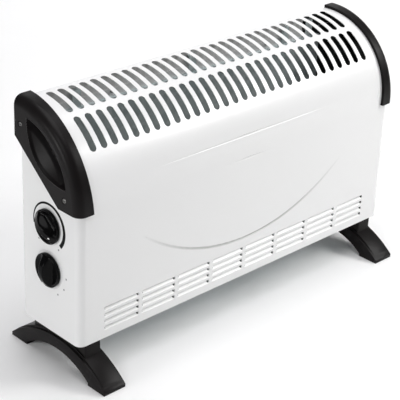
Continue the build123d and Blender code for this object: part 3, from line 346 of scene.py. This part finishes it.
def piece(name, bm, slot_name, body, replaced=(), sharp=38.0, material=None):
    """Turns a bmesh in millimetres into a named piece that rides on a body."""
    bmesh.ops.remove_doubles(bm, verts=bm.verts, dist=0.004)
    bmesh.ops.dissolve_degenerate(bm, edges=bm.edges, dist=0.002)
    bmesh.ops.recalc_face_normals(bm, faces=bm.faces)
    bmesh.ops.scale(bm, vec=(MM, MM, MM), verts=bm.verts)
    for face in bm.faces:
        face.smooth = True
    limit = math.radians(sharp)
    for edge in bm.edges:
        if len(edge.link_faces) == 2 and edge.calc_face_angle(0) > limit:
            edge.smooth = False
    mesh = bpy.data.meshes.new(name)
    bm.to_mesh(mesh)
    bm.free()
    mesh.materials.append(MATERIALS[material or slot_name])
    obj = bpy.data.objects.new(name, mesh)
    scene.collection.objects.link(obj)
    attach(obj, body)
    if replaced:
        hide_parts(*replaced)
    return obj


def quads(bm, rows, closed=False):
    """Joins rows of vertices with faces. Closed rows run round."""
    for a, b in zip(rows, rows[1:]):
        count = len(a)
        for k in range(count if closed else count - 1):
            bm.faces.new((a[k], a[(k + 1) % count], b[(k + 1) % count], b[k]))


# end caps: a skin over the corner, rolled round its arc, with the finger pocket sunk into its side
CAP_OUT = 310.0         # from the casing's middle to the cap's outermost plane, which the lip reaches
CAP_FACE = 1.5          # the side face lies this far inside that plane
CAP_ROLL = 13.0
CAP_ARC_WALL, CAP_BACK_WALL, CAP_SIDE_WALL, CAP_LEAST_DEPTH = 4.5, 1.5, 2.2, 6.5
CAP_EASE = 1.2          # radius along the back edge
CAP_FRONT, CAP_TOP, CAP_BACK = -63.0, 375.5, 66.5
CHORD_LOW, CHORD_HIGH = (-22.0, 249.5), (66.5, 322.0)
POCKET_MIDDLE, POCKET_ALONG, POCKET_HALF = (0.5, 317.0), (0.7304, 0.683), 52.0
CAP_SCREWS, RECESS_R = ((54.0, 340.0), (-34.0, 265.0)), 4.3
STEPS_ALONG, STEPS_ACROSS, STEPS_ROLL = 108, 92, 12


def cap_outline(share):
    """The point this share of the way along the cap's outer edge, from its low end to its back."""
    quarter = (CURVE_Y - CAP_FRONT) * math.pi / 2
    straight = CURVE_Z - CHORD_LOW[1]
    run = share * (straight + quarter + CAP_BACK - CURVE_Y)
    if run < straight:
        return CAP_FRONT, CHORD_LOW[1] + run
    if run < straight + quarter:
        angle = math.pi - (run - straight) / (CURVE_Y - CAP_FRONT)
        reach = CURVE_Y - CAP_FRONT
        return CURVE_Y + reach * math.cos(angle), CURVE_Z + reach * math.sin(angle)
    return CURVE_Y + run - straight - quarter, CAP_TOP


def cap_reach(share):
    """How far inwards the cap covers the casing there. Its inner edge bows, and is widest at the ends."""
    if share < 0.45:
        return 22.8 + 4.2 * ((0.45 - share) / 0.45) ** 2
    return 22.8 + 5.8 * ((share - 0.45) / 0.55) ** 2


def edge_distance(y, z):
    """How far a point of the cap's side lies inside its arc, up to where the roll ends."""
    if y > CURVE_Y:
        inside = CAP_TOP - z
    elif z < CURVE_Z:
        inside = y - CAP_FRONT
    else:
        inside = CURVE_Y - CAP_FRONT - math.hypot(y - CURVE_Y, z - CURVE_Z)
    return min(CAP_ROLL, max(0.0, inside))


def pocket_depth(y, z):
    """Depth of the finger pocket below the cap's side face, negative on its raised lip."""
    dy, dz = y - POCKET_MIDDLE[0], z - POCKET_MIDDLE[1]
    along = dy * POCKET_ALONG[0] + dz * POCKET_ALONG[1]
    across = dz * POCKET_ALONG[0] - dy * POCKET_ALONG[1]
    share = 1 - (along / POCKET_HALF) ** 2
    if share <= -0.12:
        return 0.0
    low, high = -25.0 * share, 21.0 * share
    lip = math.exp(-((across - low + 0.9) / 0.95) ** 2) * smooth(share, -0.12, 0.12)
    depth = 0.0
    if share > 0 and low < across < high:
        crease = max(low, -9.0)
        facet = 2.2 * smooth(across, low, low + 1.0) + 0.45 * (min(across, crease) - low)
        wall = facet + max(0.0, across - crease) * 1.6
        far = 16.0 * smooth(high - across, 0.0, 0.68 * (high - low))
        depth = min(wall, far)
    return depth - CAP_FACE * lip


def cap_surface(y, z):
    """Depth of the cap's side surface below its outermost plane."""
    inside = edge_distance(y, z)
    rolled = CAP_ROLL - math.sqrt(max(0.0, CAP_ROLL ** 2 - (CAP_ROLL - inside) ** 2))
    eased = max(0.0, CAP_EASE - (CAP_BACK - y))
    eased = CAP_EASE - math.sqrt(max(0.0, CAP_EASE ** 2 - eased ** 2))
    return CAP_FACE + rolled * (CAP_ROLL - CAP_FACE) / CAP_ROLL + pocket_depth(y, z) + eased


def end_cap(side):
    """The closed shell of one end cap: an outer and an inner skin, joined along their edges."""
    outer_x = MID_X + side * CAP_OUT
    bm = bmesh.new()
    roll_steps = [math.radians(90 * k / STEPS_ROLL) for k in range(1, STEPS_ROLL + 1)]
    shares = [0.98 * k / STEPS_ALONG for k in range(STEPS_ALONG + 1)] + [0.986, 0.991, 0.995, 0.998, 1.0]
    rim = (0.25, 0.5, 0.75, 0.94, 1.0)

    def rows(inset_arc, inset_back, skin):
        """A grid over the side, its rim rows round the arc, and its rim columns down the back."""
        grid = []
        for share in shares:
            chord = [low + (high - low) * share for low, high in zip(CHORD_LOW, CHORD_HIGH)]
            edge = list(cap_outline(share))
            length = math.dist(chord, edge)
            shrink = 1 - inset_arc / length
            chord[0] = min(chord[0], CAP_BACK - inset_back)
            steps = [(length - CAP_ROLL) / length * k / STEPS_ACROSS for k in range(STEPS_ACROSS + 1)]
            steps += [1 - CAP_ROLL * (1 - math.sin(t)) / length for t in roll_steps]
            column = []
            for step in steps:
                y = min(chord[0] + (edge[0] - chord[0]) * step * shrink, CAP_BACK - inset_back)
                z = chord[1] + (edge[1] - chord[1]) * step * shrink
                column.append((y, z, skin(y, z)))
            edge_y, edge_z, _ = column[-1]
            for part in rim:
                column.append((edge_y, edge_z, CAP_ROLL + (cap_reach(share) - CAP_ROLL) * part))
            grid.append(column)
        return grid

    outer = rows(0.0, 0.0, cap_surface)
    inner = rows(CAP_ARC_WALL, CAP_BACK_WALL,
                 lambda y, z: max(CAP_LEAST_DEPTH, cap_surface(y, z) + CAP_SIDE_WALL))
    walls = []
    for grid in (outer, inner):
        verts = [[bm.verts.new((outer_x - side * d, y, z)) for y, z, d in column] for column in grid]
        quads(bm, verts)
        side_count = STEPS_ACROSS + STEPS_ROLL + 1
        back_rows = [verts[-1][:side_count]]
        for part in rim:
            depth = CAP_ROLL + (cap_reach(1.0) - CAP_ROLL) * part
            back_rows.append([bm.verts.new((outer_x - side * max(depth, d), y, z))
                              for y, z, d in grid[-1][:side_count]])
        quads(bm, back_rows)
        arc_edge = [column[-1] for column in verts]
        low_edge = verts[0]
        chord_edge = [column[0] for column in verts] + [row[0] for row in back_rows[1:]]
        walls.append((arc_edge, low_edge, chord_edge, back_rows[-1]))
    for a, b in zip(*walls):
        quads(bm, [a, b])
    return bm


def screw_recesses(side):
    """The cutter for the two round recesses that the cap's screws sit in."""
    bm = bmesh.new()
    for y, z in CAP_SCREWS:
        made = bmesh.ops.create_cone(
            bm, cap_ends=True, segments=40, radius1=RECESS_R, radius2=RECESS_R, depth=8.0)
        bmesh.ops.rotate(bm, verts=made["verts"], matrix=Matrix.Rotation(math.pi / 2, 3, "Y"))
        bmesh.ops.translate(bm, verts=made["verts"], vec=(MID_X + side * CAP_OUT, y, z))
    bmesh.ops.scale(bm, vec=(MM, MM, MM), verts=bm.verts)
    mesh = bpy.data.meshes.new("recesses")
    bm.to_mesh(mesh)
    bm.free()
    cutter = bpy.data.objects.new("recesses", mesh)
    scene.collection.objects.link(cutter)
    return cutter


def applied(obj):
    """Replaces an object's mesh by what its modifiers make of it."""
    depsgraph = bpy.context.evaluated_depsgraph_get()
    mesh = bpy.data.meshes.new_from_object(obj.evaluated_get(depsgraph))
    obj.modifiers.clear()
    obj.data = mesh


for side, name in ((-1, "left_end_cap"), (1, "right_end_cap")):
    cap = piece(name + "_skin", end_cap(side), "black_plastic", "casing", (name,))
    cutter = screw_recesses(side)
    cut = cap.modifiers.new("cut", "BOOLEAN")
    cut.operation, cut.solver, cut.object = "DIFFERENCE", "EXACT", cutter
    applied(cap)
    bpy.data.objects.remove(cutter)

# dials: a round knob, hollowed either side of an arched rib
KNOB_R, KNOB_BAND, KNOB_TOP = 24.0, 4.6, 14.7
KNOB_EDGE = 1.1         # radius between the knob's face and its band
KNOB_BASE_X = LEFT_X - 0.8
RIB_FOOT, RIB_REACH = 3.6, 23.2
DOT_REACH = 16.0


def dial_point(z, angle, along, across, height):
    """A point of a dial, from its place along and across the rib and its height over the side."""
    turn = math.radians(angle)
    return (
        KNOB_BASE_X - height,
        DIAL_Y - along * math.cos(turn) + across * math.sin(turn),
        z + along * math.sin(turn) + across * math.cos(turn),
    )


def rib_height(along):
    """Height of the rib's arched crest."""
    rise = KNOB_TOP - RIB_FOOT
    arch = (RIB_REACH ** 2 + rise ** 2) / (2 * rise)
    return KNOB_TOP - arch + math.sqrt(max(0.0, arch ** 2 - along ** 2))


def knob_height(along, across):
    """Height of the knob's face: scoops on both sides of the rib, whose flanks fall away smoothly."""
    reach = math.hypot(along, across) / KNOB_R
    floor = KNOB_BAND - 2.4 * (1 - smooth(reach, 0.62, 0.985))
    flank = 1 - smooth(abs(across), 3.4, 10.5)
    return floor + max(0.0, rib_height(along) - floor) * flank


def knob(z, angle):
    """A round knob, ring by ring from the middle of its face to its underside."""
    bm = bmesh.new()
    count, face_rings = 180, 44
    face_r = KNOB_R - KNOB_EDGE
    profile = [(face_r * k / face_rings, None) for k in range(1, face_rings + 1)]
    profile += [(face_r + KNOB_EDGE * math.sin(t), KNOB_BAND - KNOB_EDGE * (1 - math.cos(t)))
                for t in (math.radians(15 * k) for k in range(1, 7))]
    profile += [(KNOB_R, 2.2), (KNOB_R, 0.5), (KNOB_R - 0.5, 0.0), (KNOB_R - 2.5, 0.0)]
    rings = []
    for reach, height in profile:
        ring = []
        for k in range(count):
            turn = 2 * math.pi * k / count
            along, across = reach * math.cos(turn), reach * math.sin(turn)
            tall = knob_height(along, across) if height is None else height
            ring.append(bm.verts.new(dial_point(z, angle, along, across, tall)))
        rings.append(ring)
    quads(bm, rings, closed=True)
    top = bm.verts.new(dial_point(z, angle, 0, 0, KNOB_TOP))
    for k in range(count):
        bm.faces.new((top, rings[0][k], rings[0][(k + 1) % count]))
    bm.faces.new(rings[-1])
    return bm


def pointer(z, angle):
    """A white dot that stands a little proud of the rib."""
    bm = bmesh.new()
    count = 28
    rings = []
    for reach, proud in ((0.45, 0.35), (0.95, 0.27), (1.25, 0.1), (1.35, -0.6)):
        ring = []
        for k in range(count):
            turn = 2 * math.pi * k / count
            along, across = DOT_REACH + reach * math.cos(turn), reach * math.sin(turn)
            tall = knob_height(along, across) + proud
            ring.append(bm.verts.new(dial_point(z, angle, along, across, tall)))
        rings.append(ring)
    quads(bm, rings, closed=True)
    bm.faces.new(rings[0])
    bm.faces.new(rings[-1])
    return bm


for dial, z, angle in (("thermostat", THERMOSTAT_Z, -37.0), ("selector", SELECTOR_Z, -90.0)):
    body = dial + "_dial"
    piece(dial + "_grip", knob(z, angle), "gloss_black_plastic", body, (dial + "_knob",))
    piece(dial + "_dot", pointer(z, angle), "white_plastic", body, (dial + "_pointer",))


# printed marks on the side, round the dials, and a ring of painted shade round the selector
INK = 0.07              # how far the print stands out
TICK_HALF, TICK_WIDTH = 2.2, 2.2    # degrees either side, and millimetres
TICKS = (               # the dial's height, the tick's angle and its distance from the dial's middle
    (THERMOSTAT_Z, 231, 33.5),
    (THERMOSTAT_Z, -54, 33.5),
    (SELECTOR_Z, 0, 35),
    (SELECTOR_Z, -30, 35),
    (SELECTOR_Z, -60, 35),
)


def arc_mark(bm, z, start, end, radius, width_start, width_end):
    """A thin printed arc round a dial, from one angle to the other, widening as it goes."""
    count = max(8, int(abs(end - start) / 2))
    section = []
    for k in range(count + 1):
        share = k / count
        turn = math.radians(start + (end - start) * share)
        half = (width_start + (width_end - width_start) * smooth(share, 0.0, 1.0)) / 2
        ring = []
        for reach, x in ((-half, 0.0), (half, 0.0), (half, INK), (-half, INK)):
            y = DIAL_Y - (radius + reach) * math.cos(turn)
            ring.append(bm.verts.new((LEFT_X - x, y, z + (radius + reach) * math.sin(turn))))
        section.append(ring)
    quads(bm, section, closed=True)
    bm.faces.new(section[0])
    bm.faces.new(section[-1])


ink = bmesh.new()
arc_mark(ink, THERMOSTAT_Z, 192, -43, 31.5, 1.9, 5.6)
piece("heat_scale", ink, "black_plastic", "casing", material="printed_black")
ticks = bmesh.new()
for z, turn, radius in TICKS:
    arc_mark(ticks, z, turn - TICK_HALF, turn + TICK_HALF, radius, TICK_WIDTH, TICK_WIDTH)
piece("scale_ticks", ticks, "black_plastic", "casing", material="printed_grey")
# painted shade: a thin pale grey ring just outside the selector knob, where the side looks faintly shaded
faint = bmesh.new()
arc_mark(faint, SELECTOR_Z, 0, 359.9, 26.8, 0.5, 0.5)
piece("selector_ring_shade", faint, "black_plastic", "casing", material="printed_pale")


# element: each coil is a helix of resistance wire
COIL_START, COIL_END, COIL_PITCH, COIL_R, WIRE_R = -223.5, 254.5, 2.9, 3.0, 0.45
COIL_STEPS = 14         # points in one turn
COIL_FRONT_Y, COIL_BACK_Y = -10.0, 34.0
LOWER_COIL_Z, UPPER_COIL_Z = 198.0, 238.0


def coil(name, y, z, replaced):
    curve = bpy.data.curves.new(name, "CURVE")
    curve.dimensions = "3D"
    curve.bevel_depth = WIRE_R * MM
    curve.bevel_resolution = 1
    line = curve.splines.new("POLY")
    count = int((COIL_END - COIL_START) / COIL_PITCH * COIL_STEPS)
    line.points.add(count)
    for k, point in enumerate(line.points):
        turn = 2 * math.pi * k / COIL_STEPS
        x = COIL_START + (COIL_END - COIL_START) * k / count
        point.co = (x * MM, (y + COIL_R * math.cos(turn)) * MM, (z + COIL_R * math.sin(turn)) * MM, 1)
    obj = bpy.data.objects.new(name, curve)
    scene.collection.objects.link(obj)
    curve.materials.append(MATERIALS["resistance_wire"])
    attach(obj, "casing")
    if replaced:
        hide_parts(replaced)


coil("lower_coil_front", COIL_FRONT_Y, LOWER_COIL_Z, "lower_coils")
coil("lower_coil_back", COIL_BACK_Y, LOWER_COIL_Z, None)
coil("upper_coil_front", COIL_FRONT_Y, UPPER_COIL_Z, "upper_coils")
coil("upper_coil_back", COIL_BACK_Y, UPPER_COIL_Z, None)


# feet: the CAD shape with its edges eased, so that they catch the light
FOOT_EASE = 1.0


def eased(name, width):
    """A copy of a CAD node's mesh, its sharp edges bevelled to this width."""
    node = frame["nodes"][name]
    bm = bmesh.new()
    bm.from_mesh(node.data)
    bm.transform(node.matrix_world)
    bmesh.ops.remove_doubles(bm, verts=bm.verts, dist=0.00001)
    bmesh.ops.dissolve_limit(bm, angle_limit=math.radians(0.6), verts=bm.verts, edges=bm.edges)
    crests = [e for e in bm.edges if len(e.link_faces) == 2 and e.calc_face_angle(0) > math.radians(28)]
    bmesh.ops.bevel(bm, geom=crests, offset=width * MM, segments=3, profile=0.5, affect="EDGES",
                    clamp_overlap=True)
    bmesh.ops.scale(bm, vec=(1000, 1000, 1000), verts=bm.verts)
    return bm


for name in ("left_foot", "right_foot"):
    piece(name + "_moulding", eased(name, FOOT_EASE), "black_plastic", "casing", (name,), sharp=50.0)


# --- floor, backdrop and lights --------------------------------------------------------------------
FLOOR_PROFILE = ((-9, 0), (2.2, 0), (2.9, 0.12), (3.5, 0.6), (3.8, 1.4), (3.9, 7))
FLOOR_HALF = 9
LIGHTS = (              # name, place, aim, size, watts, colour
    ("key", (1.3, -1.05, 1.3), (0.15, 0, 0.2), (0.8, 0.7), 20, (1.0, 0.998, 0.985)),
    ("left_low", (-2.3, 0.45, 0.55), (-0.2, 0, 0.2), (0.5, 0.5), 11, (1.0, 1.0, 1.0)),
    ("left_high", (-2.2, -0.6, 1.7), (-0.2, 0, 0.25), (0.5, 0.5), 9, (1.0, 1.0, 1.0)),
    ("top", (0.1, -0.1, 2.6), (0, 0, 0.2), (2.4, 1.8), 41, (0.99, 0.985, 1.0)),
    ("backdrop", (1.1, 1.2, 2.3), (2.6, 2.6, 0.8), (1.6, 1.2), 36, (1.0, 1.0, 1.0)),
)


def studio():
    """A pale floor that curves up into a backdrop, a dim sky and the soft lights."""
    floor_mesh = bpy.data.meshes.new("floor")
    bm = bmesh.new()
    rows = []
    for y, z in FLOOR_PROFILE:
        rows.append([bm.verts.new((x, y, z)) for x in (-FLOOR_HALF, FLOOR_HALF)])
    for a, b in zip(rows, rows[1:]):
        bm.faces.new((a[0], a[1], b[1], b[0])).smooth = True
    bm.to_mesh(floor_mesh)
    bm.free()
    floor = bpy.data.objects.new("floor", floor_mesh)
    scene.collection.objects.link(floor)
    floor.rotation_euler = (0, 0, AZIMUTH)
    floor.data.materials.append(surface(
        "studio_paper", (0.93, 0.93, 0.93), (0.95, 0.95, 0.95), (0.8, 0.9), 1.5, Specular_IOR_Level=0.1))
    world = bpy.data.worlds.new("world")
    scene.world = world
    world.use_nodes = True
    sky = world.node_tree.nodes["Background"]
    sky.inputs["Color"].default_value = (0.98, 0.985, 1.0, 1)
    sky.inputs["Strength"].default_value = 0.16
    for name, spot, aim, size, power, colour in LIGHTS:
        lamp = bpy.data.lights.new(name, "AREA")
        lamp.shape = "RECTANGLE"
        lamp.size, lamp.size_y = size
        lamp.energy = power
        lamp.color = colour
        light = bpy.data.objects.new(name, lamp)
        scene.collection.objects.link(light)
        light.location = spot
        light.rotation_euler = (Vector(aim) - Vector(spot)).to_track_quat("-Z", "Y").to_euler()


studio()
